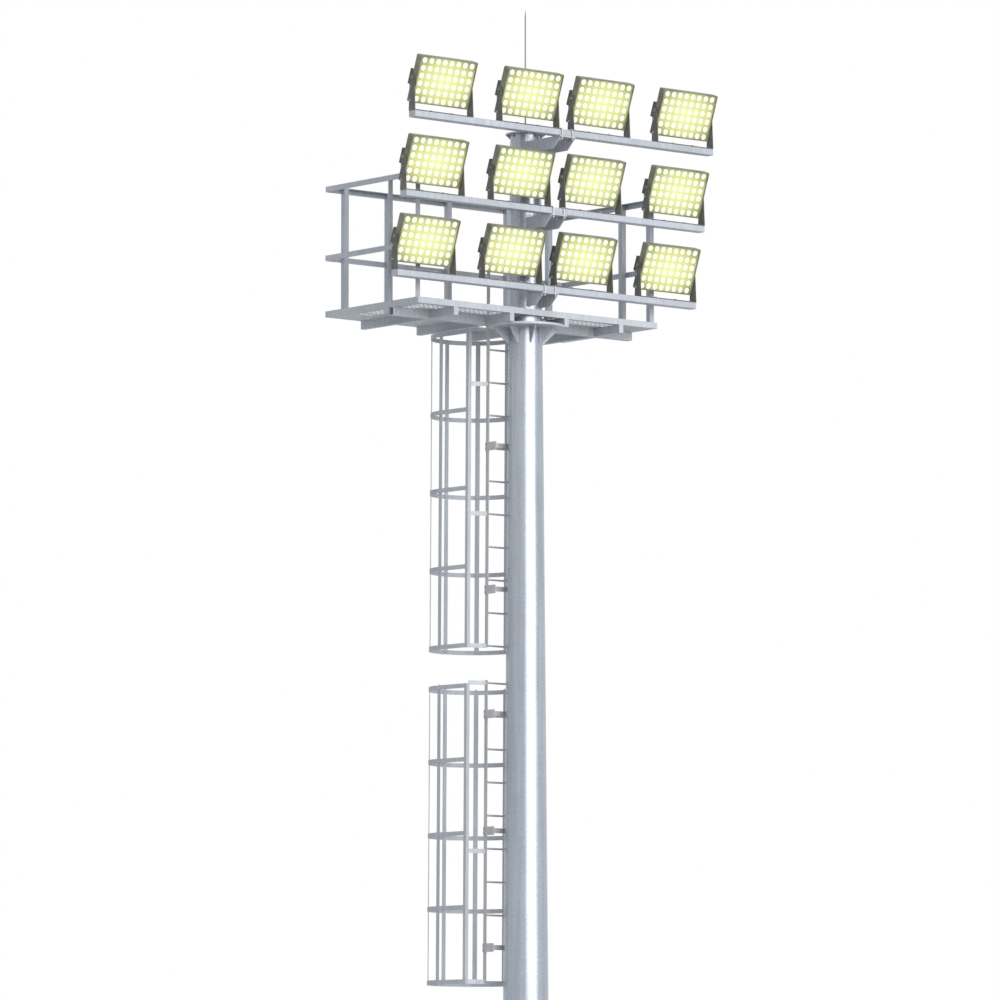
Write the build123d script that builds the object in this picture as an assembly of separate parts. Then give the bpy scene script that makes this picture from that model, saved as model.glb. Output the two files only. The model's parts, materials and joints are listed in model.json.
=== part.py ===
from build123d import *
import os
from math import atan, degrees, sqrt

# Stadium floodlight pylon: a conical steel mast with a head platform, three crossarms
# of four floodlights each, and a caged ladder up its rear.
# Millimetres. +X runs along the crossarms, -Y is the side the lamps face, +Y the
# ladder side, +Z up. The origin is the centre of the base flange's underside.

# Fits between neighbouring pieces
seat_gap = 0.3            # between curved faces that seat on each other
pivot_gap = 0.15          # radial play of a lamp's pivot in its yoke

# Mast
mast_height = 9850        # underside of the head flange
mast_base_diameter = 470
mast_taper = 0.0164       # loss of diameter for each millimetre of height
mast_wall = 6
splice_lower_height = 4525
splice_upper_height = 7460
spigot_length = 400       # how far a section reaches up into the next

# Base flange
base_flange_diameter = 680
base_flange_thickness = 30
anchor_circle_diameter = 590
anchor_hole_diameter = 33
anchor_count = 8
base_gusset_height = 220
base_gusset_thickness = 12
base_gusset_rim = 15      # from the foot of a gusset to the flange's edge

# Access cover low on the mast
opening_width = 130
opening_height = 420
opening_centre_height = 900
cover_lap = 22
cover_thickness = 4

# Head flange that carries the platform
head_flange_diameter = 720
head_flange_thickness = 20
head_bore_diameter = 180
head_gusset_count = 8
head_gusset_height = 150
head_gusset_reach = 140
head_gusset_thickness = 10
head_flange_chord = 245   # mast axis to the straight cut that clears the ladder

# Head column with its cap and lightning rod
column_above_arms = 17    # top of the column above the highest arm
cap_diameter = 360
cap_thickness = 12
cap_gusset_size = 32
cap_gusset_count = 8
cap_gusset_thickness = 6
rod_diameter = 14
rod_length = 1106
rod_tip_length = 60
rod_boss_diameter = 44
rod_boss_height = 40

# Platform
platform_half_width = 1416
platform_front = -198
platform_rear = 1140
frame_height = 55
frame_width = 55
front_beam_width = 40     # narrower, to pass in front of the column
bearer_height = 75
bearer_width = 50
bearer_inner_offset = 323
bearer_outer_offset = 978
main_beam_width = 70
main_beam_wall = 5
column_to_main_beam = 4
plank_count = 3           # on each side of the hatch
plank_joint = 4
plank_thickness = 5
hatch_front = 242
hatch_rear = 1000
column_cutout_gap = 15

# Guard rails
post_leg = 50
post_thickness = 5
rail_height = 1143        # top of the rail above the frame
mid_rail_height = 511
rail_depth = 50
rail_thickness = 5
side_post_places = (-156, 235)
rear_post_places = (-1239, -733, -25, 683, 1189)

# Ladder
ladder_standoff = 130     # mast surface to the stiles' centre plane
ladder_half_width = 200
stile_depth = 38
stile_thickness = 8
rung_diameter = 18
rung_pitch = 300
rungs_upper = 10
rungs_middle = 10
lowest_rung_limit = 250   # the lowest rung is no nearer to the ground than this
top_rung_drop = 334       # platform top to the highest rung
section_step = 337        # last rung of a section to the first of the next
stile_above_platform = 600
stile_above_rung = 25
stile_below_rung = 15

# Ladder brackets, as heights on the mast
bracket_heights = (8780, 7475, 6345, 5287, 4235, 3100, 1950, 800)
bracket_bar_height = 45
bracket_bar_thickness = 12
bracket_plate_height = 78
bracket_plate_thickness = 8
tie_height = 40

# Safety cage
cage_radius = 397
cage_centre_behind = 447  # ladder plane to the centre of the round part
cage_bar_size = 35
cage_bar_behind = 62
hoop_height = 40
hoop_thickness = 5
strap_width = 42
strap_thickness = 5
strap_angles = (0, 45, 90, 135, 180)
link_thickness = 5
hoops_full = 5
hoops_short = 3
cage_lower_span = 1283    # first to last hoop of the lowest section
top_hoop_clearance = 23   # bearers' underside to the top hoop
hoop_below_first_rung = 29
link_heights_upper = (2384, 1202)   # above the section's lowest rung
link_heights_middle = (1178,)

# Crossarms
arm_rows = ("bottom", "middle", "top")
arm_length = 3524
arm_depth = 90
arm_height = 60
arm_wall = 4
arm_corner_radius = 8
arm_pitch = 700
arm_step = 121            # how far each arm stands in front of the one below it
bottom_arm_rise = 203     # platform top to the top of the lowest arm
bottom_arm_reach = 296    # mast axis to the centre of the lowest arm
end_cap_thickness = 4

# Crossarm brackets
bracket_half_width = 90
cheek_thickness = 10
cheek_height = 112
seat_thickness = 12
bracket_lip = 17          # seat in front of the arm
nose_length = 110

# U-bolts
ubolt_bar = 12
ubolt_half_spacing = 62
ubolt_corner = 12
ubolt_tail = 24
ubolt_gap = 0.5
nut_width = 19
nut_height = 10

# Yokes
lamp_inner_offset = 422   # mast axis to the centre of an inner lamp
lamp_end_inset = 330      # end of the arm to the centre of an outer lamp
yoke_half_width = 338
yoke_plate = 6
pivot_height = 296        # arm top to the pivot
yoke_eye_radius = 30
pivot_diameter = 16
pivot_head_diameter = 34
pivot_head_thickness = 7

# Floodlights, drawn level with the pivot at the origin and the face towards -Y
lamp_tilt = 20            # degrees below level at rest
lamp_width = 650
lamp_height = 434
lamp_depth = 72
lamp_face_ahead = 57      # pivot to the front of the rim
lamp_corner_radius = 14
rim_border = 8
rim_depth = 10            # front of the rim to the board that carries the lenses
board_thickness = 4
board_ledge = 6           # step in the wall that the board rests on
housing_back = 5
fin_count = 19
fin_height = 26
fin_thickness = 4
fin_margin = 45
driver_width = 600
driver_height = 140
driver_depth = 75
driver_wall = 4
driver_fillet = 8

# Heights that follow from the sizes above
head_flange_top = mast_height + head_flange_thickness
bearer_top = head_flange_top + bearer_height
platform_top = bearer_top + frame_height
top_arm_height = platform_top + bottom_arm_rise + (len(arm_rows) - 1) * arm_pitch
column_top = top_arm_height + column_above_arms
top_rung_height = platform_top - top_rung_drop
main_beam_front = (mast_base_diameter - mast_taper * head_flange_top) / 2 + column_to_main_beam
lean = degrees(atan(mast_taper / 2))
ladder_frame = Location((0, mast_base_diameter / 2 + ladder_standoff, 0), (lean, 0, 0))


def mast_radius(height):
    return (mast_base_diameter - mast_taper * height) / 2


def frustum(bottom, top, inset=0.0):
    """A solid cone between two heights that lies inset inside the mast's surface."""
    cone = Cone(
        mast_radius(bottom) - inset,
        mast_radius(top) - inset,
        top - bottom,
        align=(Align.CENTER, Align.CENTER, Align.MIN),
    )
    return Pos(0, 0, bottom) * cone


def box(x_range, y_range, z_range):
    size = [high - low for low, high in (x_range, y_range, z_range)]
    low_corner = [span[0] for span in (x_range, y_range, z_range)]
    return Pos(*low_corner) * Box(*size, align=Align.MIN)


def disc(diameter, bottom, thickness):
    cylinder = Cylinder(diameter / 2, thickness, align=(Align.CENTER, Align.CENTER, Align.MIN))
    return Pos(0, 0, bottom) * cylinder


def mirrored(shape):
    """The shape and its mirror image across the plane X = 0."""
    return shape + mirror(shape, Plane.YZ)


def save(node, shape):
    export_step(shape, f"parts/{node}.step")


# Mast

def mast_shell(bottom, top, has_spigot):
    """One conical section, with a narrowed spigot that reaches into the next one."""
    shell = frustum(bottom, top) - frustum(bottom - 1, top + 1, mast_wall)
    if has_spigot:
        outer = mast_wall + seat_gap
        spigot_top = top + spigot_length
        root = top - mast_wall * 4
        spigot = frustum(root, spigot_top, outer) - frustum(root - 1, spigot_top + 1, outer + mast_wall)
        collar = frustum(root, top, 1) - frustum(root - 1, top + 1, outer + mast_wall)
        shell += spigot + collar
    return shell


def opening_prism(lap):
    """A round-ended prism through the mast's front wall, wider than the opening by lap."""
    outline = SlotOverall(opening_height + 2 * lap, opening_width + 2 * lap, rotation=90)
    plane = Plane(origin=(0, 0, opening_centre_height), x_dir=(1, 0, 0), z_dir=(0, -1, 0))
    return extrude(plane * outline, mast_base_diameter)


def access_cover():
    reach = opening_height / 2 + cover_lap + 1
    low, high = opening_centre_height - reach, opening_centre_height + reach
    plate = frustum(low, high, -seat_gap - cover_thickness) - frustum(low - 1, high + 1, -seat_gap)
    return plate & opening_prism(cover_lap)


def gusset_ring(count, thickness, profile, first_angle=0.0):
    """Copies of an upright gusset, whose profile is drawn as (radius, height) points."""
    blade = extrude(Plane.XZ * Polygon(*profile, align=None), thickness / 2, both=True)
    ring = [Rot(0, 0, first_angle + 360 * k / count) * blade for k in range(count)]
    return Part() + ring


def base_flange():
    flange = disc(base_flange_diameter, 0, base_flange_thickness)
    holes = PolarLocations(anchor_circle_diameter / 2, anchor_count)
    flange -= holes * Cylinder(anchor_hole_diameter / 2, 4 * base_flange_thickness)
    foot = base_flange_diameter / 2 - base_gusset_rim
    top = base_flange_thickness + base_gusset_height
    inner = mast_radius(top) - mast_wall
    profile = (
        (inner, base_flange_thickness - 1),
        (foot, base_flange_thickness - 1),
        (foot, base_flange_thickness + 2 * base_gusset_thickness),
        (mast_radius(top) + base_gusset_thickness, top),
        (inner, top),
    )
    half_step = 180 / anchor_count
    gussets = gusset_ring(anchor_count, base_gusset_thickness, profile, half_step)
    gussets -= frustum(base_flange_thickness - 2, top + 1, -seat_gap)
    return flange + gussets


def head_flange():
    flange = disc(head_flange_diameter, mast_height, head_flange_thickness)
    flange -= disc(head_bore_diameter, mast_height - 1, head_flange_thickness + 2)
    bottom = mast_height - head_gusset_height
    inner = mast_radius(mast_height) - mast_wall
    root = mast_radius(bottom) + head_gusset_thickness
    tip = mast_radius(mast_height) + head_gusset_reach
    profile = (
        (inner, mast_height + 1),
        (inner, bottom),
        (root, bottom),
        (tip, mast_height - 2 * head_gusset_thickness),
        (tip, mast_height + 1),
    )
    half_step = 180 / head_gusset_count
    gussets = gusset_ring(head_gusset_count, head_gusset_thickness, profile, half_step)
    gussets -= frustum(bottom - 1, mast_height, -seat_gap)
    far = head_flange_diameter
    rear = box((-far, far), (head_flange_chord, far), (bottom - 1, head_flange_top + 1))
    return flange + gussets - rear


def head_column():
    shell = frustum(head_flange_top, column_top)
    return shell - frustum(head_flange_top - 1, column_top + 1, mast_wall)


def column_cap():
    cap = disc(cap_diameter, column_top, cap_thickness)
    inner = mast_radius(column_top) - mast_wall
    tip = mast_radius(column_top) + cap_gusset_size
    profile = (
        (inner, column_top + 1),
        (inner, column_top - cap_gusset_size),
        (mast_radius(column_top) + cap_gusset_thickness, column_top - cap_gusset_size),
        (tip, column_top),
        (tip, column_top + 1),
    )
    gussets = gusset_ring(cap_gusset_count, cap_gusset_thickness, profile)
    gussets -= frustum(column_top - 2 * cap_gusset_size, column_top, -seat_gap)
    boss = disc(rod_boss_diameter, column_top + cap_thickness, rod_boss_height)
    return cap + gussets + boss


def lightning_rod():
    bottom = column_top + cap_thickness + rod_boss_height
    shank = disc(rod_diameter, bottom, rod_length - rod_tip_length)
    tip_base = bottom + rod_length - rod_tip_length
    tip = Cone(rod_diameter / 2, 1, rod_tip_length, align=(Align.CENTER, Align.CENTER, Align.MIN))
    return shank + Pos(0, 0, tip_base) * tip


# Platform

def platform_frame():
    outer = box(
        (-platform_half_width, platform_half_width),
        (platform_front, platform_rear),
        (bearer_top, platform_top),
    )
    inner = box(
        (-platform_half_width + frame_width, platform_half_width - frame_width),
        (platform_front + front_beam_width, platform_rear - frame_width),
        (bearer_top - 1, platform_top + 1),
    )
    return outer - inner


def platform_bearers():
    """The hollow main beam behind the column, and four bearers that cross it."""
    beam_y = (main_beam_front, main_beam_front + main_beam_width)
    beam_x = (-platform_half_width, platform_half_width)
    z_range = (head_flange_top, bearer_top)
    beam = box(beam_x, beam_y, z_range)
    beam -= box(
        (beam_x[0] - 1, beam_x[1] + 1),
        (beam_y[0] + main_beam_wall, beam_y[1] - main_beam_wall),
        (z_range[0] + main_beam_wall, z_range[1] - main_beam_wall),
    )
    bearers = Part()
    for offset in (bearer_inner_offset, bearer_outer_offset):
        x_range = (offset - bearer_width / 2, offset + bearer_width / 2)
        bearers += box(x_range, (platform_front, beam_y[0]), z_range)
        bearers += box(x_range, (beam_y[1], platform_rear), z_range)
    return beam + mirrored(bearers)


def floor_planks():
    """Flat planks on the bearers, with the way up through the floor left open."""
    z_range = (bearer_top, bearer_top + plank_thickness)
    front = platform_front + front_beam_width
    rear = platform_rear - frame_width
    pitch = (rear - front) / plank_count
    half_joint = plank_joint / 2
    outer_x = (bearer_inner_offset + half_joint, platform_half_width - frame_width - half_joint)
    planks = Part()
    for k in range(plank_count):
        y_range = (front + k * pitch + half_joint, front + (k + 1) * pitch - half_joint)
        planks += mirrored(box(outer_x, y_range, z_range))
    seam = bearer_inner_offset - half_joint
    front_plank = box((-seam, seam), (front + half_joint, hatch_front), z_range)
    cutout = 2 * (mast_radius(bearer_top) + column_cutout_gap)
    front_plank -= disc(cutout, bearer_top - 1, plank_thickness + 2)
    rear_plank = box((-seam, seam), (hatch_rear, rear - half_joint), z_range)
    return planks + front_plank + rear_plank


# Guard rails

def angle_post(x, y, turn):
    """An angle-iron post with its corner at (x, y), one leg along +Y, one along turn * X."""
    z_range = (platform_top, platform_top + rail_height - rail_thickness)
    leg_x = sorted((x, x + turn * post_leg))
    web_x = sorted((x, x + turn * post_thickness))
    flange = box(leg_x, (y, y + post_thickness), z_range)
    return flange + box(web_x, (y, y + post_leg), z_range)


def rail_levels():
    top = platform_top + rail_height
    middle = platform_top + mid_rail_height
    return (top - rail_depth, top), (middle - rail_depth, middle)


def side_railing(side):
    top, middle = rail_levels()
    outer = side * platform_half_width
    y_range = (side_post_places[0], platform_rear - rail_thickness)

    def across(width):
        return tuple(sorted((outer, outer - side * width)))

    rail = box(across(rail_thickness), y_range, top)
    rail += box(across(rail_thickness + post_leg), y_range, (top[1] - rail_thickness, top[1]))
    railing = rail + box(across(rail_thickness), y_range, middle)
    corner = outer - side * (rail_thickness + post_leg)
    for place in side_post_places:
        railing += angle_post(corner, place, side)
    return railing


def rear_railing():
    top, middle = rail_levels()
    half = platform_half_width
    ledge_width = rail_thickness + post_leg
    inner_half = half - ledge_width
    y_outer = platform_rear
    rail = box((-half, half), (y_outer - rail_thickness, y_outer), top)
    ledge = (top[1] - rail_thickness, top[1])
    rail += box((-inner_half, inner_half), (y_outer - ledge_width, y_outer), ledge)
    railing = rail + box((-half, half), (y_outer - rail_thickness, y_outer), middle)
    for place in rear_post_places:
        railing += angle_post(place, y_outer - rail_thickness - post_leg, 1)
    return railing


# Ladder, drawn upright in the ladder frame and leaned with it

def ladder_section(top_rung, rung_count, stile_top):
    """Two flat stiles, and round rungs that pass through them."""
    bottom_rung = top_rung - (rung_count - 1) * rung_pitch
    inner, outer = ladder_half_width, ladder_half_width + stile_thickness
    z_range = (bottom_rung - stile_below_rung, stile_top)
    stiles = mirrored(box((inner, outer), (-stile_depth / 2, stile_depth / 2), z_range))
    heights = [top_rung - k * rung_pitch for k in range(rung_count)]
    hole = Rot(0, 90, 0) * Cylinder(rung_diameter / 2 + seat_gap, 2 * outer + 2)
    rung = Rot(0, 90, 0) * Cylinder(rung_diameter / 2, 2 * outer)
    stiles -= [Pos(0, 0, height) * hole for height in heights]
    return stiles + [Pos(0, 0, height) * rung for height in heights]


def ladder_bracket(height):
    """A bar tangent to the mast's rear, and a plate on each stile's outer side."""
    bar_front = -ladder_standoff + seat_gap
    plate_inner = ladder_half_width + stile_thickness
    bar_half = plate_inner - seat_gap
    bar_z = (height - bracket_bar_height / 2, height + bracket_bar_height / 2)
    plate_z = (height - bracket_plate_height / 2, height + bracket_plate_height / 2)
    bar = box((-bar_half, bar_half), (bar_front, bar_front + bracket_bar_thickness), bar_z)
    plate = box(
        (plate_inner, plate_inner + bracket_plate_thickness),
        (bar_front, stile_depth / 2),
        plate_z,
    )
    return [bar, mirrored(plate)]


def ladder_ties():
    """Short plates from the main beam's rear face to the stiles."""
    beam_rear = main_beam_front + main_beam_width
    ladder_y = mast_radius(bearer_top) + ladder_standoff
    middle = (head_flange_top + bearer_top) / 2
    inner = ladder_half_width + stile_thickness + seat_gap
    tie = box(
        (inner, inner + bracket_plate_thickness),
        (beam_rear, ladder_y + stile_depth / 2),
        (middle - tie_height / 2, middle + tie_height / 2),
    )
    return mirrored(tie)


# Safety cage, in the ladder frame

def cage_outline(radius):
    """A U in plan: straight from the front bars, then half round behind the climber."""
    front, centre = cage_bar_behind + cage_bar_size / 2 + seat_gap, cage_centre_behind
    arc = ThreePointArc((radius, centre), (0, centre + radius), (-radius, centre))
    right = Line((radius, front), (radius, centre))
    left = Line((-radius, centre), (-radius, front))
    return make_face(right + arc + left + Line((-radius, front), (radius, front)))


def cage_hoop(height):
    """A flat bar bent to a U, whose ends butt on the front bars."""
    ring = cage_outline(cage_radius) - cage_outline(cage_radius - hoop_thickness)
    return Pos(0, 0, height - hoop_height / 2) * extrude(ring, hoop_height, dir=(0, 0, 1))


def cage_strap(angle, z_range):
    """An upright flat strap, with its long edges seated on the hoops' inner face."""
    half_width = strap_width / 2
    seat = sqrt((cage_radius - hoop_thickness) ** 2 - half_width**2) - seat_gap
    strap = box((seat - strap_thickness, seat), (-half_width, half_width), z_range)
    return Pos(0, cage_centre_behind, 0) * Rot(0, 0, angle) * strap


def cage_link(height):
    """A flat bar from a stile's outer side to the cage's front bar."""
    start_x = ladder_half_width + stile_thickness + seat_gap
    end_x = cage_radius - cage_bar_size - seat_gap
    half = link_thickness / 2
    outline = Polygon(
        (start_x, -half),
        (start_x, half),
        (end_x, cage_bar_behind + half),
        (end_x, cage_bar_behind - half),
        align=None,
    )
    return Pos(0, 0, height - hoop_height / 2) * extrude(outline, hoop_height, dir=(0, 0, 1))


def cage(hoop_low, hoop_high, hoop_count, link_heights):
    pitch = (hoop_high - hoop_low) / (hoop_count - 1)
    z_range = (hoop_low - hoop_height / 2, hoop_high + hoop_height / 2)
    bar = box(
        (cage_radius - cage_bar_size, cage_radius),
        (cage_bar_behind - cage_bar_size / 2, cage_bar_behind + cage_bar_size / 2),
        z_range,
    )
    pieces = [mirrored(bar)]
    pieces += [mirrored(cage_link(height)) for height in link_heights]
    pieces += [cage_hoop(hoop_low + k * pitch) for k in range(hoop_count)]
    pieces += [cage_strap(angle, z_range) for angle in strap_angles]
    return Part() + pieces


# Crossarms, from the lowest up

def arm_place(row):
    """Y and Z of the centre of an arm's top face."""
    return (
        -(bottom_arm_reach + row * arm_step),
        platform_top + bottom_arm_rise + row * arm_pitch,
    )


def crossarm():
    outer = RectangleRounded(arm_depth, arm_height, arm_corner_radius)
    bore = RectangleRounded(
        arm_depth - 2 * arm_wall, arm_height - 2 * arm_wall, arm_corner_radius - arm_wall
    )
    return extrude(Plane.YZ * (outer - bore), arm_length / 2, both=True)


def end_cap():
    outline = RectangleRounded(arm_depth, arm_height, arm_corner_radius)
    plate = extrude(Plane.YZ * outline, end_cap_thickness, dir=(1, 0, 0))
    plug_size = [size - 2 * arm_wall - 2 * seat_gap for size in (arm_depth, arm_height)]
    bore = RectangleRounded(*plug_size, arm_corner_radius - arm_wall)
    plug = extrude(Plane.YZ * bore, end_cap_thickness, dir=(-1, 0, 0))
    return Pos(arm_length / 2, 0, 0) * (plate + plug)


def arm_bracket(row):
    """Two cheeks welded to the column, with the arm's seat between their noses."""
    y, arm_top = arm_place(row)
    seat_top = arm_top - arm_height
    seat_bottom = seat_top - seat_thickness
    half_seat = arm_depth / 2 + bracket_lip
    seat_y = (y - half_seat, y + half_seat)
    seat = box((-bracket_half_width, bracket_half_width), seat_y, (seat_bottom, seat_top))
    hole = Cylinder(ubolt_bar / 2 + ubolt_gap, 4 * seat_thickness)
    for x in (-ubolt_half_spacing, ubolt_half_spacing):
        for side in (-1, 1):
            seat -= Pos(x, y + side * ubolt_leg_offset(), seat_bottom) * hole
    nose = seat_y[0]
    bottom = seat_top - cheek_height
    profile = Polygon(
        (0, seat_top),
        (0, bottom),
        (nose + nose_length, bottom),
        (nose, seat_bottom),
        (nose, seat_top),
        align=None,
    )
    cheek = extrude(Plane.YZ * profile, cheek_thickness, dir=(1, 0, 0))
    cheek = Pos(bracket_half_width - cheek_thickness, 0, 0) * cheek
    body = seat + mirrored(cheek)
    return body - frustum(bottom - 1, seat_top + 1, -seat_gap)


def ubolt_leg_offset():
    return arm_depth / 2 + ubolt_gap + ubolt_bar / 2


def ubolt():
    """A square U over the arm, with a nut below the seat on each leg. Arm top at z = 0."""
    leg = ubolt_leg_offset()
    crown = ubolt_gap + ubolt_bar / 2
    foot = -(arm_height + seat_thickness + ubolt_tail)
    corners = ((0, -leg, foot), (0, -leg, crown), (0, leg, crown), (0, leg, foot))
    path = FilletPolyline(*corners, radius=ubolt_corner)
    bar = sweep(Plane(origin=(0, -leg, foot), z_dir=(0, 0, 1)) * Circle(ubolt_bar / 2), path=path)
    nut_top = -(arm_height + seat_thickness) - seat_gap
    nut = extrude(RegularPolygon(nut_width / 2, 6, major_radius=False), nut_height)
    for side in (-1, 1):
        bar += Pos(0, side * leg, nut_top - nut_height) * nut
    return bar


# Yokes and floodlights

def yoke():
    """A flat-bar U with its base on the arm. Arm top at z = 0, pivot above it."""
    half_depth = arm_depth / 2
    base = box((-yoke_half_width, yoke_half_width), (-half_depth, half_depth), (0, yoke_plate))
    side = Polygon(
        (-half_depth, 0),
        (half_depth, 0),
        (yoke_eye_radius, pivot_height),
        (-yoke_eye_radius, pivot_height),
        align=None,
    )
    side += Pos(0, pivot_height) * Circle(yoke_eye_radius)
    side -= Pos(0, pivot_height) * Circle(pivot_diameter / 2 + pivot_gap)
    leg = extrude(Plane.YZ * side, yoke_plate, dir=(1, 0, 0))
    return base + mirrored(Pos(yoke_half_width - yoke_plate, 0, 0) * leg)


def lamp_block(inset, corner_radius, front, depth):
    """A rounded block of the lamp's outline less inset, between two depths behind the rim."""
    outline = RectangleRounded(lamp_width - 2 * inset, lamp_height - 2 * inset, corner_radius)
    rear = front + depth - lamp_face_ahead
    return Pos(0, rear, 0) * extrude(Plane.XZ * outline, depth)


def lamp_tray():
    """The cast tray: a rim round the board, a ledge for the board, and a plain back."""
    inner_radius = lamp_corner_radius - rim_border / 2
    board_rear = rim_depth + board_thickness + seat_gap
    tray = lamp_block(0, lamp_corner_radius, 0, lamp_depth)
    tray -= lamp_block(rim_border, inner_radius, -1, board_rear + 1)
    cavity_depth = lamp_depth - housing_back - board_rear
    return tray - lamp_block(rim_border + board_ledge, inner_radius, board_rear, cavity_depth)


def cooling_fins():
    """Upright fins on the tray's back, above and below the driver box."""
    back = lamp_depth - lamp_face_ahead
    span = lamp_width - 2 * fin_margin
    top = (lamp_height - fin_margin) / 2
    bottom = driver_height / 2 + fin_thickness
    fins = []
    for k in range(fin_count):
        x = k * span / (fin_count - 1) - span / 2
        x_range = (x - fin_thickness / 2, x + fin_thickness / 2)
        y_range = (back, back + fin_height)
        fins += [box(x_range, y_range, (bottom, top)), box(x_range, y_range, (-top, -bottom))]
    return fins


def pivot_stub():
    """The stub on the tray's right side: a shank through the yoke, and its head."""
    start = (lamp_width - rim_border) / 2
    end = yoke_half_width + seat_gap
    along_x = Rot(0, 90, 0)
    grow = (Align.CENTER, Align.CENTER, Align.MIN)
    shank = Pos(start, 0, 0) * along_x * Cylinder(pivot_diameter / 2, end - start, align=grow)
    head = Cylinder(pivot_head_diameter / 2, pivot_head_thickness, align=grow)
    return shank + Pos(end, 0, 0) * along_x * head


def driver_cover():
    """The box over the driver: open towards the tray's back, and round at its rear edges."""
    front = lamp_depth - lamp_face_ahead + seat_gap
    rear = front + driver_depth
    half_x, half_z = driver_width / 2, driver_height / 2
    cover = box((-half_x, half_x), (front, rear), (-half_z, half_z))
    cover = fillet(cover.edges().filter_by(Axis.X).group_by(Axis.Y)[-1], driver_fillet)
    inner_x, inner_z = half_x - driver_wall, half_z - driver_wall
    return cover - box((-inner_x, inner_x), (front - 1, rear - driver_wall), (-inner_z, inner_z))


def floodlight():
    """The tray with its fins and pivots, the board in it and the driver box behind it."""
    tray = lamp_tray() + cooling_fins() + mirrored(pivot_stub())
    board_inset = rim_border + seat_gap
    board_radius = lamp_corner_radius - rim_border / 2 - seat_gap
    board = lamp_block(board_inset, board_radius, rim_depth, board_thickness)
    return Part() + [tray, board, driver_cover()]


def lamp_offsets():
    outer = arm_length / 2 - lamp_end_inset
    return (-outer, -lamp_inner_offset, lamp_inner_offset, outer)


def main():
    os.makedirs("parts", exist_ok=True)

    save("base_flange", base_flange())
    lower = mast_shell(base_flange_thickness, splice_lower_height, True)
    save("mast_lower", lower - opening_prism(0))
    save("mast_middle", mast_shell(splice_lower_height, splice_upper_height, True))
    save("mast_upper", mast_shell(splice_upper_height, mast_height, False))
    save("access_cover", access_cover())
    save("head_flange", head_flange())
    save("head_column", head_column())
    save("column_cap", column_cap())
    save("lightning_rod", lightning_rod())

    save("platform_frame", platform_frame())
    save("platform_bearers", platform_bearers())
    save("floor_planks", floor_planks())
    save("railing_left", side_railing(-1))
    save("railing_right", side_railing(1))
    save("railing_rear", rear_railing())

    middle_top = top_rung_height - (rungs_upper - 1) * rung_pitch - section_step
    lower_top = middle_top - (rungs_middle - 1) * rung_pitch - section_step
    rungs_lower = 1 + int((lower_top - lowest_rung_limit) // rung_pitch)
    upper_low_rung = middle_top + section_step
    middle_low_rung = lower_top + section_step
    upper_stile_top = platform_top + stile_above_platform
    ladders = {
        "ladder_upper": ladder_section(top_rung_height, rungs_upper, upper_stile_top),
        "ladder_middle": ladder_section(middle_top, rungs_middle, middle_top + stile_above_rung),
        "ladder_lower": ladder_section(lower_top, rungs_lower, lower_top + stile_above_rung),
    }
    top_hoop = head_flange_top - top_hoop_clearance - hoop_height / 2
    middle_hoop = middle_top - hoop_below_first_rung
    lower_hoop = lower_top - hoop_below_first_rung
    cage_bottom = lower_hoop - cage_lower_span
    upper_links = [upper_low_rung] + [upper_low_rung + rise for rise in link_heights_upper]
    middle_links = [middle_low_rung, middle_top] + [middle_low_rung + rise for rise in link_heights_middle]
    cages = {
        "cage_upper": cage(upper_low_rung, top_hoop, hoops_full, upper_links),
        "cage_middle": cage(middle_low_rung, middle_hoop, hoops_full, middle_links),
        "cage_lower": cage(cage_bottom, lower_hoop, hoops_short, (cage_bottom, lower_hoop)),
    }
    for node, shape in (ladders | cages).items():
        save(node, ladder_frame * shape)
    brackets = [piece for height in bracket_heights for piece in ladder_bracket(height)]
    save("ladder_brackets", ladder_frame * (Part() + brackets) + ladder_ties())

    caps = Part()
    ubolts = Part()
    for row, row_name in enumerate(arm_rows):
        y, arm_top = arm_place(row)
        centre = Pos(0, y, arm_top - arm_height / 2)
        save(f"crossarm_{row_name}", centre * crossarm())
        caps += centre * mirrored(end_cap())
        save(f"arm_bracket_{row_name}", arm_bracket(row))
        for x in (-ubolt_half_spacing, ubolt_half_spacing):
            ubolts += Pos(x, y, arm_top) * ubolt()
        yokes = Part()
        for column, x in enumerate(lamp_offsets(), start=1):
            yokes += Pos(x, y, arm_top) * yoke()
            pivot = Location((x, y, arm_top + pivot_height), (lamp_tilt, 0, 0))
            save(f"floodlight_{row_name}_{column}", pivot * floodlight())
        save(f"yokes_{row_name}", yokes)
    save("arm_end_caps", caps)
    save("u_bolts", ubolts)


main()
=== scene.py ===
# %% [markdown]
# # Stadium floodlight pylon
# The imported CAD model gives every solid its place, so this file never moves one. It adds
# what a solid leaves out: finishes, lenses, bolts, welds, perforations and small fittings.
# We begin by loading the model.

import json
import math

import bmesh
import bpy
from mathutils import Euler, Matrix, Vector


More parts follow.
